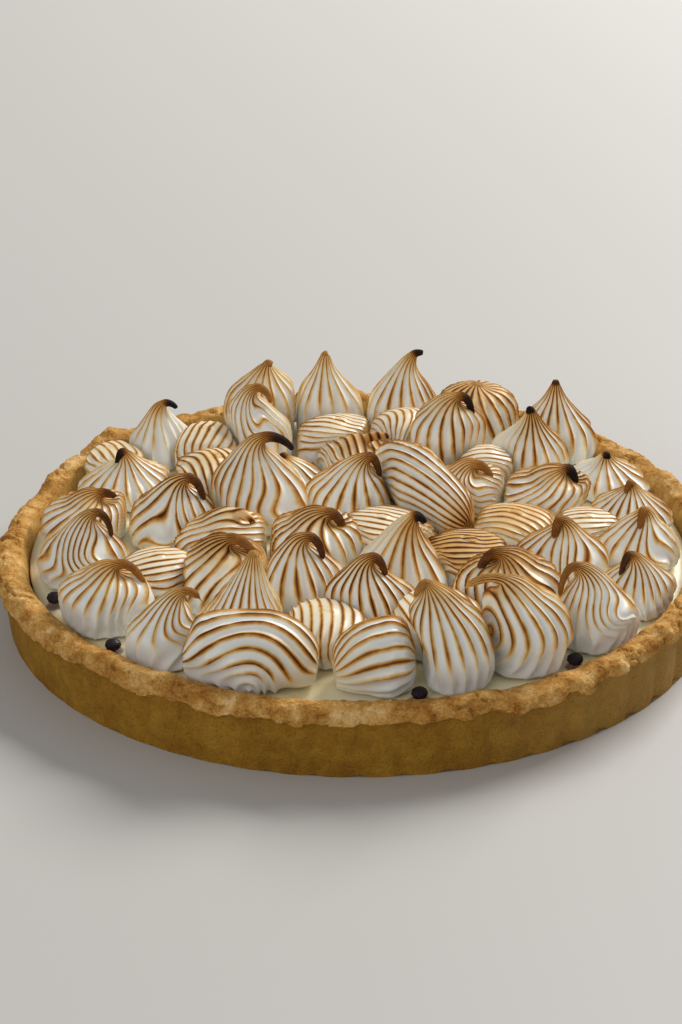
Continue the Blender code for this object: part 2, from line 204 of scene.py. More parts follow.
def runTree(item, tree, values):
    # Set the inputs by identifier, evaluate once and keep the result as a plain mesh
    modifier = item.modifiers.new(tree.name, "NODES")
    modifier.node_group = tree
    for socket in tree.interface.items_tree:
        if socket.in_out == "INPUT" and socket.name in values:
            modifier[socket.identifier] = values[socket.name]
    graph = bpy.context.evaluated_depsgraph_get()
    mesh = bpy.data.meshes.new_from_object(item.evaluated_get(graph))
    item.modifiers.remove(modifier)
    item.data = mesh
    return item


def addItem(name, data):
    item = bpy.data.objects.new(name, data)
    bpy.context.scene.collection.objects.link(item)
    return item


def addTube(name, rings, firstPole, lastPole, stored=None):
    # Closed rings bridged by quads, with a fan of triangles at each end
    rows, columns = rings.shape[:2]
    points = np.vstack((rings.reshape(-1, 3), [firstPole], [lastPole]))
    lower = np.arange((rows - 1) * columns)
    following = np.where(lower % columns == columns - 1, lower - columns + 1, lower + 1)
    quads = np.stack((lower, following, following + columns, lower + columns), axis=1)
    turn = np.arange(columns)
    after = (turn + 1) % columns
    start, end = rows * columns, rows * columns + 1
    last = (rows - 1) * columns
    footFan = np.stack((np.full(columns, start), after, turn), axis=1)
    tipFan = np.stack((np.full(columns, end), turn + last, after + last), axis=1)
    mesh = bpy.data.meshes.new(name)
    mesh.from_pydata(points.tolist(), [], quads.tolist() + footFan.tolist() + tipFan.tolist())
    for label, values in (stored or {}).items():
        layer = mesh.attributes.new(label, "FLOAT_VECTOR", "POINT")
        layer.data.foreach_set("vector", np.asarray(values, dtype=np.float32).ravel())
    mesh.update()
    return addItem(name, mesh)


def finishPiece(item, material, node):
    for polygon in item.data.polygons:
        polygon.use_smooth = True
    item.data.materials.clear()
    item.data.materials.append(material)
    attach(item, "root")
    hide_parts(node)


def waveSum(angle, waves):
    return sum(share * np.sin(cycles * angle + phase) for cycles, phase, share in waves)


def eased(value, low, high):
    t = np.clip((value - low) / (high - low), 0.0, 1.0)
    return t * t * (3.0 - 2.0 * t)


def wrapped(angle):
    return (angle + math.pi) % math.tau - math.pi


meringueLook = {
    "white": (0.90, 0.895, 0.865),
    "cream": (0.88, 0.79, 0.60),
    "straw": (0.77, 0.51, 0.20),
    "gold": (0.54, 0.25, 0.045),
    "brown": (0.25, 0.082, 0.010),
    "dark": (0.080, 0.024, 0.005),
    "black": (0.009, 0.006, 0.005),
    "roughness": 0.40,
    "toastRoughness": 0.65,
    "shine": 0.18,
    "coat": 0.45,
    "coatRoughness": 0.22,
    "softness": 0.35,
    "softReach": 0.0025,
}


def meringueFinish():
    look = meringueLook
    material, sheet = newFinish("torchedMeringue")
    place = sheet.objectPlace()
    east, north, depth = sheet.attribute("ribs")
    toast, char, count = sheet.attribute("bake")
    # 1 on a rib's crest and 0 in the middle of a valley
    phase = north.maths("ARCTAN2", north, east) * count / math.tau
    crest = (phase.maths("FRACT", phase + 100.5) - 0.5).size() * -2.0 + 1.0
    patch = sheet.noise(place, 95.0, 3.0)
    streak = sheet.noise(place, 420.0, 3.0, 0.6)
    grain = sheet.noise(place, 1500.0, 2.0, 0.7)
    width = patch * 0.30 - 0.15
    line = (crest + width + (streak - 0.5) * 0.14).between(0.34, 0.98)
    core = (crest + width * 0.6).between(0.80, 1.0)
    strength = toast * (patch - 0.5).between(-0.20, 0.10, 0.66, 1.10)
    heat = line * strength * 0.50 + core * strength * 0.20
    flush = char * (0.95 + (streak - 0.5) * 0.45 + (grain - 0.5) * 0.35) * (0.84 + crest * 0.16)
    heat = heat + flush * (1.0 - heat * 0.45)
    stops = (
        (0.0, look["white"]),
        (0.10, look["cream"]),
        (0.25, look["straw"]),
        (0.42, look["gold"]),
        (0.63, look["brown"]),
        (0.82, look["dark"]),
        (0.97, look["black"]),
    )
    colour = sheet.ramp(heat.held(), stops)
    roughness = heat.between(0.08, 0.45, look["roughness"], look["toastRoughness"])
    fine = sheet.noise(place, 700.0, 3.0)
    relief = fine * 0.25 + grain * heat.between(0.10, 0.50, 0.04, 0.9)
    bump = sheet.bump(relief, 0.00022, 0.55)
    sheet.surface({
        "Base Color": colour,
        "Roughness": roughness,
        "Specular IOR Level": look["shine"],
        "Coat Weight": heat.between(0.05, 0.35, look["coat"], 0.0),
        "Coat Roughness": look["coatRoughness"],
        "Subsurface Weight": look["softness"],
        "Subsurface Radius": (1.0, 0.85, 0.65),
        "Subsurface Scale": look["softReach"],
        "Normal": bump,
    })
    return material


peakSizes = {
    "creamTop": 0.0204,
    "gap": 0.0003,
    "seam": 0.0007,
    "datum": 0.0227,
    "reach": 0.1196 - 0.0012,
    "overhangHeight": 0.0285,
    "overhangSlope": 0.9,
    "overhangSoftness": 0.003,
    "hookTipShare": 0.40,
    "capRise": 0.15,
    "ropeTailShare": 0.28,
    "ropeTailPower": 1.5,
    "squareStart": 1.15,
    "squareRate": 2.2,
    "beadSteps": 14,
    "searchSteps": 11,
    "pressReach": 1.5,
    "pressSharpness": 7.0,
    "leastShare": 0.12,
    "ropeLift": 0.5,
    "ropeRise": 0.022,
    "ropeHandle": 0.4,
    "footHandle": 0.45,
    "apexHandle": 0.26,
    "hookHandle": 0.45,
    "fallHandle": 0.4,
    "droopReach": 0.006,
    "girthShare": 0.85,
    "ribs": 18,
    "ribDepth": 0.0017,
    "ribRadius": 0.0165,
    "crestWidth": 0.06,
    "waver": 0.0006,
}
meringueFloor = peakSizes["creamTop"] + peakSizes["gap"]

# Spine fractions and the radius there as a share of the peak's radius
forms = {
    "kiss": ((0.0, 0.88), (0.12, 1.0), (0.32, 0.86), (0.54, 0.54), (0.76, 0.27), (1.0, 0.10)),
    "plump": ((0.0, 0.86), (0.14, 1.0), (0.36, 0.98), (0.58, 0.80), (0.80, 0.43), (1.0, 0.11)),
    "slim": ((0.0, 0.90), (0.10, 1.0), (0.28, 0.74), (0.50, 0.45), (0.75, 0.24), (1.0, 0.095)),
    "mound": ((0.0, 0.90), (0.18, 1.0), (0.44, 0.97), (0.68, 0.82), (0.86, 0.56), (1.0, 0.14)),
    "rope": ((0.0, 0.30), (0.12, 0.74), (0.36, 0.96), (0.62, 1.0), (0.84, 0.98), (1.0, 0.96)),
}

# Form, foot, radius, height above the datum, lean of the apex and hook from apex to tip
peaks = (
    ("plump", (0.030, -0.1005), 0.0155, 0.034, (-0.008, -0.0005), (-0.004, -0.001, -0.004)),
    ("plump", (0.0535, -0.0885), 0.0172, 0.031, (-0.0075, -0.003), (-0.013, 0.000, -0.005)),
    ("kiss", (0.0785, -0.0725), 0.0172, 0.027, (-0.0065, -0.0025), (-0.006, -0.002, -0.010)),
    ("kiss", (0.095, -0.0475), 0.0170, 0.018, (-0.002, -0.0015), (-0.004, -0.002, -0.008)),
    ("rope", (0.018, -0.102), 0.0150, 0.020, (-0.012, 0.000), (-0.014, -0.003, -0.003)),
    ("rope", (-0.056, -0.103), 0.0158, 0.023, (0.025, 0.002), (0.018, -0.002, -0.005)),
    ("slim", (-0.038, -0.080), 0.0220, 0.033, (0.004, 0.002), (0.001, 0.000, 0.001)),
    ("kiss", (-0.0625, -0.085), 0.0160, 0.023, (0.0055, 0.000), (0.008, -0.001, -0.008)),
    ("plump", (-0.085, -0.061), 0.0175, 0.021, (0.004, 0.000), (0.010, -0.001, -0.010)),
    ("kiss", (-0.0955, -0.0285), 0.0180, 0.024, (0.0035, 0.0015), (0.006, -0.001, -0.009)),
    ("plump", (-0.099, 0.0075), 0.0185, 0.016, (0.005, -0.0005), (0.006, -0.001, -0.001)),
    ("kiss", (-0.087, 0.041), 0.0205, 0.017, (-0.001, 0.000), (-0.003, -0.001, -0.006)),
    ("slim", (-0.076, 0.077), 0.0190, 0.022, (0.000, 0.000), (0.005, 0.000, -0.002)),
    ("mound", (-0.057, 0.070), 0.0190, 0.016, (-0.002, 0.000), (0.001, 0.000, 0.000)),
    ("kiss", (-0.067, 0.007), 0.0215, 0.022, (0.004, 0.000), (0.007, -0.001, -0.010)),
    ("plump", (-0.046, -0.016), 0.0200, 0.019, (0.003, 0.000), (0.006, -0.001, -0.004)),
    ("plump", (-0.044, -0.045), 0.0205, 0.023, (0.000, 0.000), (0.010, -0.003, -0.009)),
    ("mound", (-0.068, -0.040), 0.0185, 0.015, (-0.001, 0.000), (0.001, 0.000, 0.000)),
    ("kiss", (-0.036, 0.020), 0.0225, 0.032, (0.001, 0.001), (0.011, 0.000, -0.005)),
    ("kiss", (-0.024, 0.048), 0.0180, 0.012, (-0.004, 0.000), (-0.002, -0.001, -0.006)),
    ("mound", (-0.054, 0.041), 0.0200, 0.017, (0.001, 0.000), (0.003, 0.000, -0.001)),
    ("plump", (-0.037, 0.099), 0.0175, 0.030, (0.001, 0.000), (0.002, 0.000, 0.000)),
    ("kiss", (-0.040, 0.076), 0.0195, 0.029, (0.000, 0.000), (0.006, -0.001, -0.006)),
    ("kiss", (-0.012, 0.101), 0.0190, 0.033, (-0.001, 0.000), (0.001, 0.000, 0.001)),
    ("kiss", (0.018, 0.101), 0.0190, 0.033, (0.004, 0.000), (0.004, 0.000, 0.001)),
    ("mound", (0.047, 0.092), 0.0200, 0.025, (0.000, 0.000), (0.002, 0.000, -0.001)),
    ("plump", (0.036, 0.062), 0.0185, 0.031, (0.002, 0.000), (0.006, -0.001, -0.011)),
    ("kiss", (0.077, 0.079), 0.0190, 0.029, (0.000, 0.000), (0.000, 0.000, 0.002)),
    ("kiss", (0.065, 0.059), 0.0205, 0.026, (0.001, 0.000), (-0.001, -0.001, 0.002)),
    ("kiss", (0.095, 0.047), 0.0200, 0.013, (-0.001, 0.000), (0.001, -0.001, -0.001)),
    ("plump", (0.066, 0.028), 0.0210, 0.016, (0.011, 0.000), (0.004, -0.002, -0.005)),
    ("kiss", (0.099, 0.0155), 0.0180, 0.015, (0.001, 0.0005), (-0.002, -0.002, -0.005)),
    ("kiss", (0.0975, -0.0145), 0.0180, 0.019, (0.0035, -0.0005), (-0.002, -0.004, -0.010)),
    ("kiss", (0.070, -0.027), 0.0215, 0.021, (0.001, 0.000), (-0.003, -0.003, -0.010)),
    ("mound", (0.059, 0.001), 0.0195, 0.012, (-0.002, 0.000), (0.002, 0.000, 0.000)),
    ("plump", (0.050, -0.056), 0.0210, 0.023, (-0.002, 0.000), (-0.008, -0.002, -0.008)),
    ("mound", (0.037, -0.025), 0.0205, 0.014, (0.002, 0.000), (0.002, 0.000, 0.000)),
    ("slim", (0.015, -0.034), 0.0225, 0.026, (0.004, 0.000), (0.004, -0.001, -0.002)),
    ("kiss", (0.004, -0.062), 0.0215, 0.024, (0.000, 0.000), (0.005, -0.001, -0.006)),
    ("kiss", (-0.019, -0.048), 0.0205, 0.025, (0.001, 0.000), (0.006, -0.001, -0.008)),
    ("plump", (-0.016, -0.016), 0.0220, 0.019, (0.005, 0.000), (0.006, -0.002, -0.007)),
    ("kiss", (-0.004, 0.030), 0.0215, 0.020, (0.007, 0.000), (0.005, -0.001, -0.008)),
    ("plump", (-0.001, 0.057), 0.0195, 0.016, (0.004, 0.000), (0.009, 0.000, 0.001)),
    ("mound", (-0.010, 0.078), 0.0195, 0.016, (0.003, 0.000), (0.002, 0.000, 0.000)),
    ("rope", (0.008, 0.047), 0.0145, 0.022, (0.013, -0.019), (0.020, -0.026, -0.006)),
    ("plump", (0.046, 0.032), 0.0180, 0.016, (-0.002, 0.000), (0.006, -0.004, -0.006)),
    ("mound", (0.016, 0.073), 0.0180, 0.021, (0.003, 0.000), (0.001, 0.000, 0.000)),
    ("mound", (0.083, 0.000), 0.0170, 0.011, (0.000, 0.000), (0.001, 0.000, 0.000)),
    ("mound", (0.048, 0.050), 0.0175, 0.015, (0.002, 0.000), (0.001, 0.000, 0.000)),
    ("mound", (0.010, -0.004), 0.0200, 0.013, (-0.001, 0.000), (0.001, 0.000, 0.000)),
    ("mound", (-0.012, -0.079), 0.0200, 0.015, (0.002, 0.000), (0.001, 0.000, 0.000)),
    ("mound", (0.027, -0.076), 0.0195, 0.018, (-0.003, 0.000), (-0.001, 0.000, 0.000)),
    ("mound", (-0.095, 0.062), 0.0160, 0.011, (0.000, 0.000), (0.001, 0.000, 0.000)),
)
berries = ((0.0193, -0.1133), (-0.1042, -0.0480), (-0.0807, -0.0815), (0.0703, -0.0916))
berrySize = {"radius": 0.0028, "flatness": 0.75, "clearance": 2.5}

# How each peak was piped and torched, by its number. Angles are degrees round the peak,
# 0 towards +X and 270 towards the viewer, and a rope's 0 is its top.
# ribs: how many, where not the usual count; twist: degrees from foot to apex
# stripes: direction, bend and pitch in millimetres, on humps that were dragged sideways
# arcs: direction, share of the height, size in millimetres and strength, below 0 mirrored
# whorls: direction, share of the height, turn in degrees and size in millimetres
# folds: direction, share of the height, sideways shift and width in millimetres
# toast: how brown the crests are; base: share of the height where the toast sets in
# tip: how dark the hook is, from white at 0 to black at 1
# flush: where the char sets in, from 0 at the foot over 1 at the apex to 2 at the tip
# warm: toasted side and how white the other side stays
piping = {
    1: {"ribs": 20, "twist": 10, "toast": 0.95, "tip": 0.45, "base": 0.16, "warm": (300, 0.2)},
    2: {"ribs": 20, "twist": -6, "toast": 0.95, "tip": 0.40, "base": 0.14, "arcs": ((212, 0.38, 30, 0.9),)},
    3: {
        "toast": 0.95, "tip": 0.56, "base": 0.22,
        "folds": ((312, 0.36, 9, 5), (318, 0.18, -8, 5), (285, 0.46, 5, 5)),
    },
    4: {"toast": 1.0, "tip": 0.95, "base": 0.22, "folds": ((320, 0.30, 5, 6),)},
    5: {"twist": 8, "toast": 0.95, "tip": 0.1, "base": 0.22},
    6: {"ribs": 20, "toast": 1.05, "tip": 0.1, "base": 0.20, "arcs": ((125, 0.72, 34, -0.9),)},
    7: {"ribs": 20, "twist": 22, "toast": 0.95, "tip": 0.42, "base": 0.15, "warm": (235, 0.4)},
    8: {
        "ribs": 16, "toast": 0.80, "tip": 0.56, "base": 0.22,
        "folds": ((312, 0.30, -9, 6), (305, 0.52, 6, 5)),
    },
    9: {"twist": -25, "toast": 0.75, "tip": 0.56, "base": 0.28, "whorls": ((320, 0.12, -120, 8),)},
    10: {"toast": 1.05, "tip": 0.86, "folds": ((290, 0.42, 10, 5), (275, 0.26, -9, 5), (222, 0.36, -8, 5))},
    11: {"ribs": 20, "twist": -35, "toast": 0.9, "tip": 0.85},
    12: {"twist": 20, "toast": 0.80, "tip": 1.2, "warm": (300, 0.4)},
    13: {"ribs": 14, "toast": 0.55, "tip": 1.25, "base": 0.20, "flush": 0.45, "warm": (180, 0.7)},
    14: {"stripes": (-12, 0.3, 3.4), "toast": 0.9, "tip": 0.2},
    15: {
        "ribs": 16, "twist": -30, "toast": 1.15, "tip": 0.86, "base": 0.05,
        "whorls": ((255, 0.30, 90, 9),), "folds": ((285, 0.22, -9, 5),),
    },
    16: {"stripes": (100, -0.6, 3.6), "toast": 1.0, "tip": 0.25, "base": 0.05, "flush": 0.55},
    17: {
        "ribs": 20, "twist": -60, "toast": 1.1, "tip": 0.56, "base": 0.05, "flush": 0.50,
        "whorls": ((305, 0.34, 150, 10),),
    },
    18: {"stripes": (112, -0.5, 3.4), "toast": 1.1, "tip": 0.15, "base": 0.0},
    19: {
        "twist": 12, "toast": 0.9, "tip": 1.1, "base": 0.05,
        "folds": ((285, 0.25, 9, 7),), "warm": (250, 0.35),
    },
    20: {"ribs": 16, "toast": 0.95, "tip": 1.15, "base": 0.05},
    21: {"stripes": (25, 0.8, 3.4), "toast": 1.0, "tip": 0.3, "base": 0.0},
    22: {"ribs": 16, "twist": 8, "toast": 0.80, "tip": 0.46, "base": 0.08, "warm": (200, 0.4)},
    23: {
        "ribs": 16, "twist": 25, "toast": 1.0, "tip": 0.50, "base": 0.12,
        "whorls": ((300, 0.5, -120, 9),), "warm": (220, 0.5),
    },
    24: {"ribs": 14, "toast": 0.68, "tip": 0.42, "base": 0.15},
    25: {"ribs": 16, "twist": 10, "toast": 0.95, "tip": 1.1, "base": 0.08, "warm": (330, 0.35)},
    26: {"twist": 25, "toast": 1.1, "tip": 0.50, "base": 0.05, "flush": 0.55},
    27: {"twist": 4, "toast": 1.05, "tip": 1.15, "base": 0.08, "warm": (330, 0.3)},
    28: {"ribs": 16, "twist": -6, "toast": 1.0, "tip": 0.90, "base": 0.08, "warm": (290, 0.3)},
    29: {"twist": 8, "toast": 1.0, "tip": 1.2, "flush": 0.5, "warm": (330, 0.8)},
    30: {"ribs": 16, "toast": 0.85, "tip": 1.2, "warm": (330, 0.8)},
    31: {"ribs": 20, "twist": -15, "toast": 0.95, "tip": 1.15, "base": 0.05, "whorls": ((200, 0.5, 70, 11),)},
    32: {"toast": 1.05, "tip": 0.62},
    33: {"ribs": 16, "toast": 0.9, "tip": 0.62, "whorls": ((300, 0.3, -80, 9),), "warm": (260, 0.3)},
    34: {"toast": 1.0, "tip": 0.66, "folds": ((290, 0.35, 8, 5), (250, 0.3, -7, 5))},
    35: {"stripes": (60, 0.8, 3.6), "toast": 0.8, "tip": 0.36, "base": 0.0, "flush": 0.5},
    36: {
        "ribs": 20, "twist": 30, "toast": 1.15, "tip": 0.80, "base": 0.05, "flush": 0.50,
        "whorls": ((300, 0.35, -80, 10),),
    },
    37: {"stripes": (92, -0.8, 3.0), "toast": 1.2, "tip": 0.45, "base": 0.0, "flush": 0.3},
    38: {"ribs": 16, "toast": 0.9, "tip": 1.25, "base": 0.05, "flush": 0.30, "warm": (335, 0.75)},
    39: {"toast": 1.2, "tip": 0.80, "base": 0.05},
    40: {"ribs": 16, "toast": 1.0, "tip": 0.85, "base": 0.08},
    41: {"twist": 30, "toast": 1.05, "tip": 0.78, "base": 0.05, "whorls": ((235, 0.4, -70, 10),)},
    42: {"twist": 12, "toast": 1.05, "tip": 0.80, "base": 0.05},
    43: {"stripes": (15, 0.6, 3.2), "toast": 0.95, "tip": 0.46, "base": 0.0, "flush": 0.5},
    44: {"stripes": (65, -0.6, 3.3), "toast": 0.95, "tip": 0.15, "base": 0.0},
    45: {"ribs": 22, "twist": 18, "toast": 1.05, "tip": 0.46, "base": 0.02, "flush": 1.45},
    46: {"twist": 80, "toast": 1.05, "tip": 0.56, "base": 0.05, "whorls": ((280, 0.5, -110, 9),)},
    47: {"stripes": (20, 2.2, 3.2), "toast": 0.85, "tip": 0.15, "base": 0.0},
    48: {"stripes": (95, -0.5, 3.3), "toast": 1.0, "tip": 0.15, "base": 0.0},
    49: {"stripes": (88, 0.4, 3.2), "toast": 0.95, "tip": 0.1, "base": 0.0},
    50: {"stripes": (70, -0.7, 3.4), "toast": 1.0, "tip": 0.15, "base": 0.0},
    51: {"stripes": (5, 0.5, 3.4), "toast": 0.95, "tip": 0.15, "base": 0.0},
    52: {"stripes": (20, 0.5, 3.4), "toast": 0.95, "tip": 0.15, "base": 0.0},
    53: {"stripes": (30, 0.6, 3.4), "toast": 0.8, "tip": 0.2, "base": 0.0},
}
fineGrid = (84, 36, 12)  # columns, rows up the body and rows along the hook
plainGrid = (72, 28, 8)
plainPeaks = (18, 21, 35, 44, 47, 48, 49, 50, 51, 52, 53)


def bezier(start, handleA, handleB, end, steps):
    t = np.asarray(steps)[:, None]
    s = 1.0 - t
    return s**3 * start + 3 * s * s * t * handleA + 3 * s * t * t * handleB + t**3 * end


def unit(vector):
    return vector / max(np.linalg.norm(vector), 1e-9)


def peakPath(peak):
    # Two curves carry a peak: foot to apex, then apex to tip
    form, foot, radius, height, lean, hook = peak
    lying = form == "rope"
    lift = peakSizes["ropeLift"] * radius if lying else 0.0
    start = np.array((foot[0], foot[1], meringueFloor + lift))
    crown = peakSizes["datum"] + height - radius * forms[form][-1][1]
    apex = np.array((foot[0] + lean[0], foot[1] + lean[1], crown))
    hook = np.array(hook)
    tip = apex + hook
    up = np.array((0.0, 0.0, 1.0))
    level = np.array((hook[0], hook[1], 0.0))
    if lying:
        run = unit(tip - start) * np.array((1.0, 1.0, 0.0))
        leave = start + run * peakSizes["ropeHandle"] * np.linalg.norm(apex - start)
        turned = apex + run * peakSizes["hookHandle"] * np.linalg.norm(hook)
        return (start, leave, apex - run * 0.006, apex), (apex, turned, tip - run * 0.003, tip)
    droop = min(1.0, np.linalg.norm(level) / peakSizes["droopReach"])
    heading = unit(unit(level) * droop + up * (1.5 - droop))
    leave = start + up * peakSizes["footHandle"] * height
    arrive = apex - heading * peakSizes["apexHandle"] * height
    turned = apex + heading * peakSizes["hookHandle"] * np.linalg.norm(hook)
    fall = tip - up * peakSizes["fallHandle"] * min(0.0, hook[2])
    return (start, leave, arrive, apex), (apex, turned, fall, tip)


def smoothShare(knots, s):
    # Cubic through the knots with slopes taken from their neighbours
    x = np.array([k[0] for k in knots])
    y = np.array([k[1] for k in knots])
    slope = np.gradient(y, x)
    i = np.clip(np.searchsorted(x, s, side="right") - 1, 0, len(x) - 2)
    span = x[i + 1] - x[i]
    t = (s - x[i]) / span
    rise = (2 * t**3 - 3 * t**2 + 1) * y[i] + (t**3 - 2 * t**2 + t) * span * slope[i]
    return rise + (-2 * t**3 + 3 * t**2) * y[i + 1] + (t**3 - t**2) * span * slope[i + 1]


def peakSpine(peak, bodySteps, hookSteps):
    form, radius = peak[0], peak[2]
    first, second = peakPath(peak)
    body = np.asarray(bodySteps)
    hook = np.asarray(hookSteps)
    places = np.vstack((bezier(*first, body), bezier(*second, hook)))
    share = smoothShare(forms[form], body)
    endShare = forms[form][-1][1]
    if form == "rope":
        tail = endShare + (peakSizes["ropeTailShare"] - endShare) * hook ** peakSizes["ropeTailPower"]
    else:
        tail = endShare * (1.0 + (peakSizes["hookTipShare"] - 1.0) * hook)
    return places, radius * np.concatenate((share, tail))


def sampleSpines():
    # Beads along every spine, and the berries as single beads
    count = peakSizes["beadSteps"]
    body = np.linspace(0.0, 1.0, count)
    beads = [peakSpine(peak, body, body[1:]) for peak in peaks]
    level = meringueFloor + berrySize["radius"] * berrySize["flatness"]
    reach = berrySize["radius"] * berrySize["clearance"]
    for x, y in berries:
        beads.append((np.array([(x, y, level)]), np.array([reach])))
    return beads


def beadDistance(points, beads):
    places, radii = beads
    away = np.sqrt(((points[:, None, :] - places[None, :, :]) ** 2).sum(axis=2))
    return (away - radii[None, :]).min(axis=1)


def roomLeft(points, own, near):
    # Positive where a point is nearer to its own peak than to any neighbour or the rim
    mine = beadDistance(points, own)
    room = np.full(len(points), 1.0)
    for other in near:
        room = np.minimum(room, beadDistance(points, other) - mine - peakSizes["seam"])
    above = points[:, 2] - peakSizes["overhangHeight"]
    over = peakSizes["overhangSlope"] * 0.5 * (np.hypot(above, peakSizes["overhangSoftness"]) + above)
    return np.minimum(room, peakSizes["reach"] + over - np.hypot(points[:, 0], points[:, 1]))


def closeNeighbours(index, beads):
    places, radii = beads[index]
    near = []
    for other, (farPlaces, farRadii) in enumerate(beads):
        away = np.linalg.norm(places[:, None, :] - farPlaces[None, :, :], axis=2)
        room = (away - radii[:, None] - farRadii[None, :]).min()
        if other != index and room < peakSizes["seam"] * 2:
            near.append(beads[other])
    return near


def pressBack(points, centres, index, beads):
    # Draw each point towards its spine, rounded off, so that it clears the neighbours
    near = closeNeighbours(index, beads)
    own = beads[index]
    far = peakSizes["pressReach"]
    low = np.zeros(len(points))
    high = np.full(len(points), far)
    free = roomLeft(centres + (points - centres) * far, own, near) >= 0.0
    for _ in range(peakSizes["searchSteps"]):
        middle = 0.5 * (low + high)
        fits = roomLeft(centres + (points - centres) * middle[:, None], own, near) >= 0.0
        low = np.where(fits, middle, low)
        high = np.where(fits, high, middle)
    limit = np.maximum(np.where(free, far, low), peakSizes["leastShare"])
    sharp = peakSizes["pressSharpness"]
    share = (1.0 + limit**-sharp) ** (-1.0 / sharp)
    return centres + (points - centres) * share[:, None], share


def ringFrames(peak, places, radii):
    # Section axes: level where the peak is wide, square to the spine where it is thin
    along = np.gradient(places, axis=0)
    up = np.array((0.0, 0.0, 1.0))
    lying = peak[0] == "rope"
    side = up if lying else np.array((1.0, 0.0, 0.0))
    sides, acrosses = [], []
    for direction, radius in zip(along, radii):
        square = peakSizes["squareStart"] - peakSizes["squareRate"] * radius / peak[2]
        turn = 1.0 if lying else min(1.0, max(0.0, square))
        normal = unit(unit(direction) * turn + up * (1.0 - turn))
        side = unit(side - normal * np.dot(side, normal))
        sides.append(side)
        acrosses.append(np.cross(normal, side))
    return np.array(sides), np.array(acrosses)


def ribTurn(ways, ribs, angle, share, along, radius, offset):
    # Where each point lies round the ribs, after arcs, whorls and folds have bent them
    if "stripes" in ways:
        # The nozzle was dragged sideways, so stripes run side by side over the hump
        direction, bend, pitch = ways["stripes"]
        turn = math.radians(direction)
        east, north, up = [offset[..., k] * 1000.0 for k in range(3)]
        over = east * math.cos(turn) + north * math.sin(turn)
        beside = north * math.cos(turn) - east * math.sin(turn)
        return math.tau * (over + bend * 0.02 * beside * beside + 0.25 * up) / pitch / ribs
    across = np.zeros_like(angle)
    girth = peakSizes["girthShare"]

    def placed(direction, height, scale):
        # How far each point lies round the peak and up it from a place on its side
        dx = wrapped(angle - math.radians(direction)) * radius * scale
        return dx, along - np.interp(height, share[:, 0], along[:, 0])

    for direction, height, size, strength in ways.get("arcs", ()):
        dx, dy = placed(direction, height, girth)
        away = np.hypot(dx, dy) - math.copysign(1.0, strength) * dx
        across += strength * np.exp(-((np.hypot(dx, dy) / (size * 0.001)) ** 4)) * away
    for direction, height, turn, size in ways.get("whorls", ()):
        dx, dy = placed(direction, height, girth)
        away = (dx * dx + dy * dy) / (size * 0.001) ** 2
        spin = math.radians(turn) * np.exp(-away)
        across += dx * np.cos(spin) - dy * np.sin(spin) - dx
    for direction, height, shift, width in ways.get("folds", ()):
        dx, dy = placed(direction, height, 1.0)
        reach = 0.0022 * width
        across += 0.001 * shift * np.exp(-((dy / (width * 0.001)) ** 2) - (dx / reach) ** 2)
    return angle + across / (radius * girth) + math.radians(ways.get("twist", 0)) * share


def bakeAmounts(ways, points, angle, share, upness, squeeze, lying):
    # Toast on the crests, char over everything near the tip
    base = ways.get("base", 0.1)
    side, white = ways.get("warm", (0, 0.0))
    far = eased(-np.cos(angle - math.radians(side)), -0.25, 0.75)
    rise = share
    if lying:
        rise = np.clip((points[..., 2] - meringueFloor) / peakSizes["ropeRise"], 0.0, 1.0)
    toast = ways["toast"] * eased(rise, base - 0.06, base + 0.30)
    toast *= 0.45 + 0.55 * eased(upness, -0.35, 0.35)
    toast *= 0.35 + 0.65 * eased(squeeze, 0.55, 0.95)
    toast *= 1.0 - white * far
    if lying:
        char = ways["tip"] * eased(share, ways.get("flush", 0.8), 2.0)
    else:
        golden = min(ways["tip"], 0.50)
        start = ways.get("flush", 0.62)
        char = golden * eased(share, start, 1.15) + (ways["tip"] - golden) * eased(share, 0.95, 1.45)
    # The white side keeps its lower part free of char, and the hook chars all round
    char *= 1.0 - 0.8 * white * (far * eased(-share, -1.2, -0.9))
    return toast, char


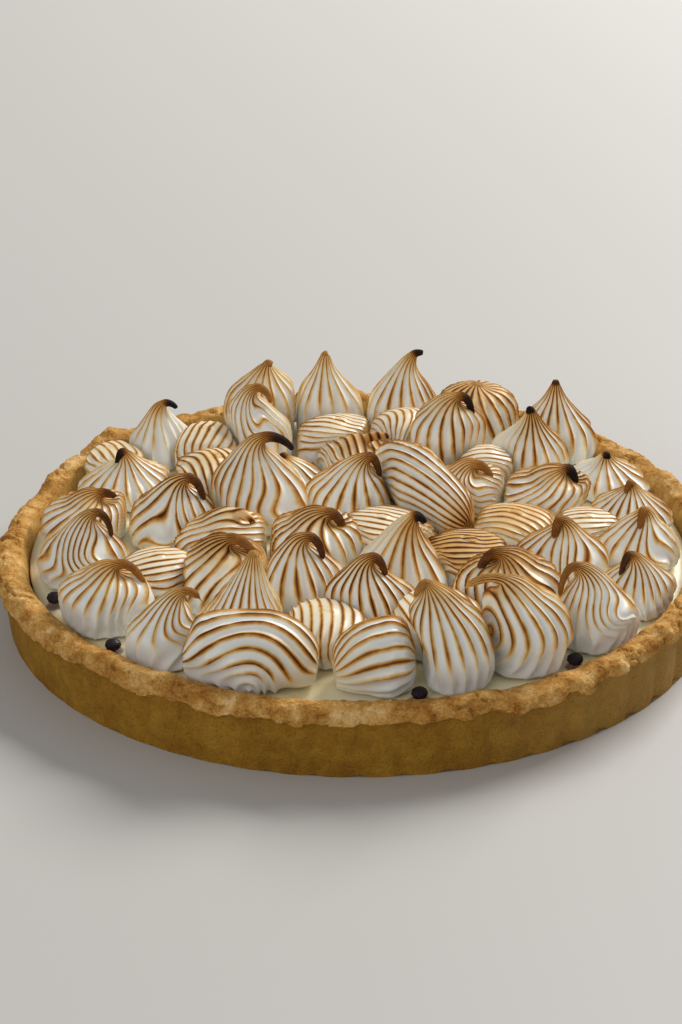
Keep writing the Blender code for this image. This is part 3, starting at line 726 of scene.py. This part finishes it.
def peakMesh(index, beads):
    peak = peaks[index]
    ways = piping[index + 1]
    lying = peak[0] == "rope"
    columns, bodyRows, hookRows = plainGrid if index + 1 in plainPeaks else fineGrid
    body = np.linspace(0.0, 1.0, bodyRows)
    hook = np.linspace(0.0, 1.0, bodyRows if lying else hookRows + 1)[1:-1]
    places, radii = peakSpine(peak, body, hook)
    tip = peakPath(peak)[1][3]
    if peak[0] == "mound":
        # A mound has no hook, so its last rings close in a shallow cap
        crown, brim = places[bodyRows - 1], radii[bodyRows - 1]
        tip = crown + np.array((0.0, 0.0, peakSizes["capRise"] * brim))
        places[bodyRows:] = crown + (tip - crown) * (1.0 - (1.0 - hook[:, None]) ** 2)
        radii[bodyRows:] = brim * (1.0 - hook)
    sides, acrosses = ringFrames(peak, places, radii)
    turns = np.arange(columns) * math.tau / columns
    share = np.concatenate((body, 1.0 + hook))
    angle = np.broadcast_to(turns, (len(places), columns))
    shares = np.broadcast_to(share[:, None], angle.shape)
    # The hand's unevenness, slow round the peak and up it
    drift = 0.026 * np.sin(2 * angle + index * 1.7 + 3.0 * shares)
    drift += 0.018 * np.sin(3 * angle - index * 2.3 + 5.0 * shares)
    reach = radii[:, None] * (1.0 + drift)
    out = np.cos(angle)[..., None] * sides[:, None, :]
    out = out + np.sin(angle)[..., None] * acrosses[:, None, :]
    points = places[:, None, :] + reach[..., None] * out
    points[..., 2] = np.maximum(points[..., 2], meringueFloor)
    centres = np.repeat(places, columns, axis=0)
    pressed, squeeze = pressBack(points.reshape(-1, 3), centres, index, beads)
    rings = pressed.reshape(points.shape)
    squeeze = squeeze.reshape(angle.shape)
    steps = np.linalg.norm(np.diff(places, axis=0), axis=1)
    along = np.broadcast_to(np.concatenate(([0.0], np.cumsum(steps)))[:, None], angle.shape)
    offset = points - np.array((*peak[1], meringueFloor))
    ribs = ways.get("ribs", peakSizes["ribs"])
    turned = ribTurn(ways, ribs, angle, shares, along, peak[2], offset)
    # Ribs grow shallow as the peak thins and where a neighbour squeezes it
    thin = np.clip(radii / peakSizes["ribRadius"], 0.0, 1.15)[:, None]
    depth = peakSizes["ribDepth"] * thin * (0.30 + 0.70 * eased(squeeze, 0.5, 0.95))
    if not lying:
        depth = depth * eased(shares, -0.02, 0.10)
    if peak[0] == "mound":
        depth = depth * (1.0 - eased(shares, 0.70, 0.97))
    upness = out[..., 2] + 0.25
    if not lying:
        pace = np.linalg.norm(np.gradient(places, axis=0), axis=1)
        slope = np.gradient(radii) / np.maximum(pace, 1e-6)
        upness = upness - np.clip(slope, -1.0, 1.0)[:, None] * 0.8
    toast, char = bakeAmounts(ways, rings, angle, shares, upness, squeeze, lying)
    # One turn is stored and the ribs are counted out of it later, so fine ribs stay crisp
    piped = np.stack((np.cos(turned), np.sin(turned), depth * 1000.0), axis=-1).reshape(-1, 3)
    bake = np.stack((toast, char, ribs + 0.0 * char), axis=-1).reshape(-1, 3)
    foot = rings[0].mean(axis=0)
    ends = np.array([(1.0, 0.0, 0.0), (1.0, 0.0, 0.0)])
    tipBake = np.array([(0.0, 0.0, ribs), (toast[-1].mean(), char[-1].mean(), ribs)])
    stored = {"ribs": np.vstack((piped, ends)), "bake": np.vstack((bake, tipBake))}
    return addTube(f"meringue{index + 1:02d}", rings, foot, tip, stored)


def ribTree():
    # Smooths the piped body, then sinks wide valleys between narrow rib crests
    tree, sheet, given = newTree("pipedRibs", ("Crest Width", "Waver"))
    shape, finish, crestWidth, waver = given
    smooth = sheet.wire("GeometryNodeSubdivisionSurface", None, {0: shape, 1: 1})
    east, north, depth = sheet.namedAttribute("ribs")
    count = sheet.namedAttribute("bake")[2]
    phase = north.maths("ARCTAN2", north, east) * count
    valley = ((1.0 - phase.maths("COSINE", phase)) * 0.5 + crestWidth * crestWidth).root() - crestWidth
    place = sheet.wire("GeometryNodeInputPosition")
    uneven = sheet.noise(place, 90.0, 2.0) - 0.5
    sheet.pushed(smooth, (valley * depth * -0.001) + uneven * waver * depth, finish)
    return tree


def makePeaks():
    beads = sampleSpines()
    tree = ribTree()
    finish = meringueFinish()
    values = {"Finish": finish, "Crest Width": peakSizes["crestWidth"], "Waver": peakSizes["waver"]}
    for index in range(len(peaks)):
        item = runTree(peakMesh(index, beads), tree, values)
        finishPiece(item, finish, f"dollop_{index + 1:02d}")
    print("meringue peaks", len(peaks))


shell = {
    "rimRadius": 0.130,
    "wallRadius": 0.1282,
    "baseRadius": 0.1270,
    "innerRadius": 0.1196,
    "innerTaper": 0.0030,
    "height": 0.028,
    "floor": 0.004,
    "flutes": 56,
    "fluteDepth": 0.0016,
    "columnsPerFlute": 22,
    "rowsPerSpan": 7,
    "lipWander": 0.0009,
    "topWander": 0.0011,
    "lipWaves": (
        (5, 0.4, 0.30),
        (11, 1.9, 0.30),
        (23, 2.6, 0.45),
        (37, 0.7, 0.35),
        (61, 4.1, 0.30),
    ),
    "topWaves": (
        (3, 2.2, 0.45),
        (8, 0.6, 0.30),
        (19, 1.3, 0.40),
        (31, 3.3, 0.35),
        (53, 5.0, 0.25),
    ),
    "jags": 150,
    "jagHeight": 0.0011,
    "jagReach": 0.0005,
    "lumpHeight": 0.0012,
    "tearDepth": 0.0016,
    "deepSide": 20,
    # Wall colours: the crust's own tone, painted darker as painted shade on the wall
    "wallPale": (0.44, 0.235, 0.026),
    "wall": (0.33, 0.158, 0.016),
    "wallDark": (0.20, 0.080, 0.009),
    # painted light: the paler wall colour on the lit +X side
    "wallPaintedLight": (0.50, 0.305, 0.095),
    # Rim colours: browner from baking, and lighter than the wall as painted light on the rim top
    "pale": (0.88, 0.58, 0.25),
    "golden": (0.64, 0.34, 0.085),
    "brown": (0.42, 0.175, 0.030),
    "dark": (0.15, 0.052, 0.009),
    "crumb": (0.50, 0.32, 0.09),
}
# Direction and half width in degrees, rise and spread
rimMarks = (
    (142.0, 3.2, 0.0060, 0.0010),
    (168.0, 9.0, -0.0035, 0.0),
    (-158.0, 16.0, -0.0006, 0.0032),
    (-135.0, 5.0, -0.0014, 0.0),
    (96.0, 5.0, 0.0020, 0.0),
    (-20.0, 6.0, 0.0012, 0.0010),
    (-92.0, 34.0, -0.0018, 0.0),
    (-52.0, 18.0, -0.0018, 0.0),
)


def rimMark(angle):
    rise = np.zeros_like(angle)
    spread = np.zeros_like(angle)
    for direction, halfWidth, height, reach in rimMarks:
        away = np.degrees(wrapped(angle - math.radians(direction)))
        share = np.exp(-((away / halfWidth) ** 2))
        rise += height * share
        spread += reach * share
    return rise, spread


def jagged(angle, seed):
    # Torn edge: random heights round the shell, joined by eased steps
    heights = np.random.default_rng(seed).uniform(-1.0, 1.0, shell["jags"])
    place = angle / math.tau * shell["jags"]
    first = place.astype(int) % shell["jags"]
    share = eased(place - np.floor(place), 0.15, 0.85)
    return heights[first] * (1.0 - share) + heights[(first + 1) % shell["jags"]] * share


def shellMesh():
    top = shell["height"]
    wall, rim, base, inner = [shell[k + "Radius"] for k in ("wall", "rim", "base", "inner")]
    # Radius, height, then shares of the flutes, wander, marks, roughness and torn ledge
    section = np.array((
        (base - 0.0060, 0.0, 0.0, 0.0, 0.0, 0.0, 0.0),
        (base - 0.0008, 0.0, 0.60, 0.0, 0.0, 0.0, 0.0),
        (base, 0.0010, 0.80, 0.0, 0.0, 0.2, 0.0),
        ((base + wall) / 2, top * 0.33, 0.95, 0.05, 0.0, 0.3, 0.0),
        (wall - 0.0002, top * 0.655, 1.0, 0.15, 0.05, 0.4, 0.7),
        (rim - 0.0004, top * 0.735, 0.50, 0.9, 0.30, 0.9, 1.0),
        (rim - 0.0005, top * 0.88, 0.25, 1.0, 0.80, 1.0, 0.5),
        (rim - 0.0024, top * 0.965, 0.08, 0.95, 0.95, 1.0, 0.3),
        (rim - 0.0054, top * 0.995, 0.0, 0.85, 1.0, 1.0, 0.2),
        (inner + 0.0012, top * 0.935, 0.0, 0.55, 0.90, 0.9, 0.2),
        (inner + 0.0001, top * 0.78, 0.0, 0.0, 0.40, 0.3, 0.0),
        (inner - shell["innerTaper"], shell["floor"], 0.0, 0.0, 0.0, 0.0, 0.0),
    ))
    knots = np.arange(len(section), dtype=float)
    steps = np.linspace(0, len(section) - 1, (len(section) - 1) * shell["rowsPerSpan"] + 1)
    rows = [smoothShare(list(zip(knots, column)), steps)[:, None] for column in section.T]
    radius, height, fluted, wandering, marked, roughened, torn = rows
    columns = shell["flutes"] * shell["columnsPerFlute"]
    angle = np.arange(columns) * math.tau / columns
    rise, spread = rimMark(angle)
    lip = shell["lipWander"] * waveSum(angle, shell["lipWaves"]) + spread
    brink = shell["topWander"] * waveSum(angle, shell["topWaves"])
    reach = radius + wandering * lip - torn * shell["jagReach"] * (1.0 + jagged(angle, 3))
    level = height + wandering * brink + marked * rise
    level = np.maximum(level + torn * shell["jagHeight"] * (jagged(angle, 8) - 0.3), 0.0)
    rings = np.stack((reach * np.cos(angle), reach * np.sin(angle), level), axis=-1)
    # The flutes are deepest on one side and fade round the shell
    strength = 0.62 + 0.38 * np.cos(angle - math.radians(shell["deepSide"]))
    flute = np.clip(fluted, 0.0, 1.0) * strength
    turn = np.broadcast_to(angle * shell["flutes"], flute.shape)
    rough = np.clip(np.broadcast_to(roughened, flute.shape), 0.0, 1.0)
    # 0 on the outer wall, 1 from the rim on: the rim is browner from baking and painted lighter as painted
    #                                         light on its top
    bakedAndLit = eased(steps, 4.2, 4.9)[:, None] * np.ones_like(flute)
    inside = (steps[:, None] > 9.2) * np.ones_like(flute)
    flutes = np.stack((np.cos(turn), np.sin(turn), flute), axis=-1).reshape(-1, 3)
    crust = np.stack((rough, bakedAndLit, inside), axis=-1).reshape(-1, 3)
    ends = np.zeros((2, 3))
    stored = {"flutes": np.vstack((flutes, ends)), "crust": np.vstack((crust, ends))}
    return addTube("pastryShell", rings, (0.0, 0.0, 0.0), (0.0, 0.0, shell["floor"]), stored)


def fluteTree():
    # Narrow grooves between broad flutes, and the rough torn skin of the rim
    tree, sheet, given = newTree("pastryFlutes", ("Groove Depth", "Lump Height", "Tear Depth"))
    shape, finish, groove, lump, tear = given
    east, _, flute = sheet.namedAttribute("flutes")
    rough = sheet.namedAttribute("crust")[0]
    place = sheet.wire("GeometryNodeInputPosition")
    cut = ((1.0 + east) * 0.5).most(0.0) ** 2.2
    low = sheet.noise(place, 95.0, 3.0, 0.5) - 0.62
    fine = sheet.noise(place, 420.0, 4.0, 0.70) - 0.60
    edges = {"feature": "DISTANCE_TO_EDGE"}
    bent = sheet.scaled(place, 1.0 + fine * 0.004)
    cracks = sheet.wire("ShaderNodeTexVoronoi", edges, {"Vector": bent, "Scale": 110.0})
    crack = cracks.between(0.0, 0.09, 1.0, 0.0) * (low + 0.62).between(0.50, 0.64)
    move = low * lump * 2.4 + fine * lump * 1.7 - crack * tear
    sheet.pushed(shape, move * rough * rough - cut * flute * groove, finish)
    return tree


def pastryFinish():
    material, sheet = newFinish("bakedPastry")
    place = sheet.objectPlace()
    rough, bakedAndLit, inside = sheet.attribute("crust")
    patch = sheet.noise(place, 42.0, 4.0)
    mottle = sheet.noise(place, 190.0, 4.0, 0.6)
    grain = sheet.noise(place, 1300.0, 3.0, 0.7)
    pits = sheet.wire("ShaderNodeTexVoronoi", None, {"Vector": place, "Scale": 900.0})
    drift = (patch - 0.5) * 1.1 + (mottle - 0.5) * 1.5 + (grain - 0.5) * 0.90
    wallStops = (
        (0.15, shell["wallPale"]),
        (0.50, shell["wall"]),
        (0.90, shell["wallDark"]),
    )
    rimStops = (
        (0.05, shell["pale"]),
        (0.38, shell["golden"]),
        (0.70, shell["brown"]),
        (1.0, shell["dark"]),
    )
    wall = sheet.ramp((drift * 0.6 + 0.5).held(), wallStops)
    # The wall towards +X is painted paler: painted light on the side where the light falls
    east = sheet.parts(place)[0]
    wall = sheet.blend(east.between(0.020, 0.115) * 0.55, wall, shell["wallPaintedLight"])
    rim = sheet.ramp((drift + 0.45).held(), rimStops)
    # The rim colours take over from the wall's: real browning, plus painted light on the top and painted
    # shade on the wall
    edge = bakedAndLit + (mottle - 0.5) * 0.5 * bakedAndLit * (1.0 - bakedAndLit)
    colour = sheet.blend(edge.held(), wall, rim)
    colour = sheet.blend(inside * 0.35, colour, shell["crumb"])
    relief = grain * 0.7 + mottle * 1.2 + pits.between(0.0, 0.35) * 0.5
    bump = sheet.bump(relief, 0.0008, 0.9)
    roughness = 0.72 + (mottle - 0.5) * 0.3
    sheet.surface({"Base Color": colour, "Roughness": roughness, "Specular IOR Level": 0.12, "Normal": bump})
    return material


def makeShell():
    finish = pastryFinish()
    values = {
        "Finish": finish,
        "Groove Depth": shell["fluteDepth"],
        "Lump Height": shell["lumpHeight"],
        "Tear Depth": shell["tearDepth"],
    }
    item = runTree(shellMesh(), fluteTree(), values)
    finishPiece(item, finish, "crust")
    print("pastry shell", len(item.data.polygons), "faces")


cream = {
    "sag": 0.0008,
    "clearance": 0.0012,
    "columns": 240,
    "ripple": 0.0002,
    "drop": 0.0004,
    "colour": (0.92, 0.82, 0.52),
    "pale": (0.95, 0.89, 0.66),
    "stain": (0.16, 0.03, 0.05),
    "stainStart": 0.0026,
    "stainEnd": 0.0042,
    "stainShare": 0.80,
    "roughness": 0.42,
}


def makeCream():
    top = peakSizes["creamTop"]
    gap = peakSizes["gap"]
    inner = shell["innerRadius"]
    bottom = shell["floor"] + gap
    side = inner - cream["clearance"]
    shoulder = top - 2 * cream["sag"]
    rings = [(inner - shell["innerTaper"] - gap, bottom)]
    rings += [(side - 0.0016 * (1 - t), bottom + (shoulder - bottom) * t) for t in (0.4, 0.8, 1.0)]
    rings += [(side - 0.0006 - 0.0018 * t, top - cream["sag"] * (1.6 - 1.2 * t)) for t in (0.0, 0.5, 1.0)]
    rings += [(inner - 0.0046 - (inner - 0.0066) * t, top) for t in np.linspace(0.0, 1.0, 40)]
    angle = np.arange(cream["columns"]) * math.tau / cream["columns"]
    rows = []
    for radius, height in rings:
        ripple = cream["ripple"] * (np.sin(7 * angle + radius * 160) + np.sin(11 * angle - radius * 310))
        level = height + (ripple - cream["drop"] if height > top * 0.9 else 0.0)
        rows.append(np.stack((radius * np.cos(angle), radius * np.sin(angle), level + 0.0 * angle), axis=-1))
    item = addTube("creamFilling", np.array(rows), (0.0, 0.0, bottom), (0.0, 0.0, top - cream["drop"]))
    material, sheet = newFinish("custardCream")
    place = sheet.objectPlace()
    patch = sheet.noise(place, 60.0, 3.0)
    fine = sheet.noise(place, 500.0, 3.0)
    colour = sheet.blend(patch.between(0.35, 0.65), cream["colour"], cream["pale"])
    near = 0.0
    for x, y in berries:
        away = sheet.distance(place, (x, y, top)) + (fine - 0.5) * 0.002
        near = away.between(cream["stainStart"], cream["stainEnd"], cream["stainShare"], 0.0).most(near)
    sheet.surface({
        "Base Color": sheet.blend(near, colour, cream["stain"]),
        "Roughness": cream["roughness"] + (fine - 0.5) * 0.2,
        "Subsurface Weight": 0.2,
        "Subsurface Radius": (1.0, 0.7, 0.3),
        "Subsurface Scale": 0.002,
        "Normal": sheet.bump(fine * 0.5 + patch, 0.0005, 0.6),
    })
    finishPiece(item, material, "cream")
    print("cream filling")


berryLook = {
    "skin": (0.010, 0.004, 0.007),
    "bloom": (0.026, 0.011, 0.018),
    "columns": 56,
    "rows": 36,
    "body": 0.93,
    "lumpRise": 0.06,
}


def makeBerries():
    material, sheet = newFinish("darkBerrySkin")
    place = sheet.objectPlace()
    patch = sheet.noise(place, 350.0, 3.0)
    colour = sheet.blend(patch.between(0.42, 0.68), berryLook["skin"], berryLook["bloom"])
    sheet.surface({
        "Base Color": colour,
        "Roughness": 0.45 + patch * 0.2,
        "Specular IOR Level": 0.25,
        "Coat Weight": 0.1,
        "Coat Roughness": 0.3,
        "Normal": sheet.bump(sheet.noise(place, 1400.0, 3.0), 0.00025, 0.6),
    })
    radius = berrySize["radius"]
    height = radius * berrySize["flatness"]
    angle = np.arange(berryLook["columns"]) * math.tau / berryLook["columns"]
    tilt = np.linspace(0.0, math.pi, berryLook["rows"] + 2)[1:-1, None]
    for index, (x, y) in enumerate(berries):
        # Small drupes stand out all over the berry in staggered rows
        lumps = np.cos(8 * angle + 4 * tilt) * np.sin(tilt) * np.cos(9 * tilt)
        swell = berryLook["body"] + berryLook["lumpRise"] * lumps
        reach = radius * swell
        flat = height * swell
        level = meringueFloor + height
        rings = np.stack((
            x + reach * np.sin(tilt) * np.cos(angle),
            y + reach * np.sin(tilt) * np.sin(angle),
            level - flat * np.cos(tilt) + 0.0 * angle,
        ), axis=-1)
        low, high = [(x, y, level + side * height * berryLook["body"]) for side in (-1, 1)]
        item = addTube(f"darkBerry{index + 1}", rings, low, high)
        finishPiece(item, material, f"dark_berry_{index + 1}")
    print("dark berries", len(berries))


studio = {
    "floor": (0.56, 0.54, 0.51),
    "floorSize": 6.0,
    "sky": (0.985, 1.0, 1.0),
    "skyStrength": 0.30,
    "lights": (
        ("windowBack", (1.5, 1.9, 1.9), 100.0, (1.0, 0.995, 0.970)),
        ("fillFront", (-1.2, -1.8, 1.3), 13.0, (1.0, 1.0, 0.99)),
    ),
    "lightSize": (1.6, 1.2),
    "lightAim": (0.0, 0.0, 0.02),
    "distance": 0.800,
    "rise": 27.4,
    "yaw": -0.5,
    "pitch": 25.3,
    "roll": -0.3,
    "focal": 2178.0,
    "longSide": 1024.0,
    "sensor": 36.0,
}


def addLight(name, place, power, colour):
    lamp = bpy.data.lights.new(name, "AREA")
    lamp.shape = "RECTANGLE"
    lamp.size, lamp.size_y = studio["lightSize"]
    lamp.energy = power
    lamp.color = colour
    item = addItem(name, lamp)
    item.location = place
    way = Vector(studio["lightAim"]) - Vector(place)
    item.rotation_euler = way.to_track_quat("-Z", "Y").to_euler()


def makeStudio():
    mesh = bpy.data.meshes.new("paleFloor")
    size = studio["floorSize"]
    corners = [(-size, -size, 0), (size, -size, 0), (size, size, 0), (-size, size, 0)]
    mesh.from_pydata(corners, [], [(0, 1, 2, 3)])
    floor = addItem("paleFloor", mesh)
    material, sheet = newFinish("paleFloor")
    sheet.surface({"Base Color": (*studio["floor"], 1.0), "Roughness": 0.6})
    mesh.materials.append(material)
    world = bpy.data.worlds.new("softSky")
    world.use_nodes = True
    sky = world.node_tree.nodes["Background"].inputs
    sky["Color"].default_value = (*studio["sky"], 1.0)
    sky["Strength"].default_value = studio["skyStrength"]
    bpy.context.scene.world = world
    bpy.context.scene.view_settings.view_transform = "Standard"
    for light in studio["lights"]:
        addLight(*light)
    print("studio")


def makeCamera():
    rise, yaw, pitch, roll = [math.radians(studio[k]) for k in ("rise", "yaw", "pitch", "roll")]
    back = studio["distance"]
    view = bpy.data.cameras.new("photoView")
    view.sensor_width = studio["sensor"]
    view.sensor_fit = "AUTO"
    view.lens = studio["sensor"] * studio["focal"] / studio["longSide"]
    item = addItem("photoView", view)
    level = math.cos(pitch)
    forward = Vector((math.sin(yaw) * level, math.cos(yaw) * level, -math.sin(pitch)))
    right = forward.cross(Vector((0, 0, 1))).normalized()
    up = right.cross(forward)
    turnedRight = right * math.cos(roll) + up * math.sin(roll)
    turnedUp = up * math.cos(roll) - right * math.sin(roll)
    axes = Matrix((turnedRight, turnedUp, -forward)).transposed().to_4x4()
    place = (0.0, -back * math.cos(rise), back * math.sin(rise))
    item.matrix_world = Matrix.Translation(place) @ axes
    view.clip_start = 0.01
    view.clip_end = 20.0
    bpy.context.scene.camera = item


makeShell()
makeCream()
makeBerries()
makePeaks()
makeStudio()
makeCamera()
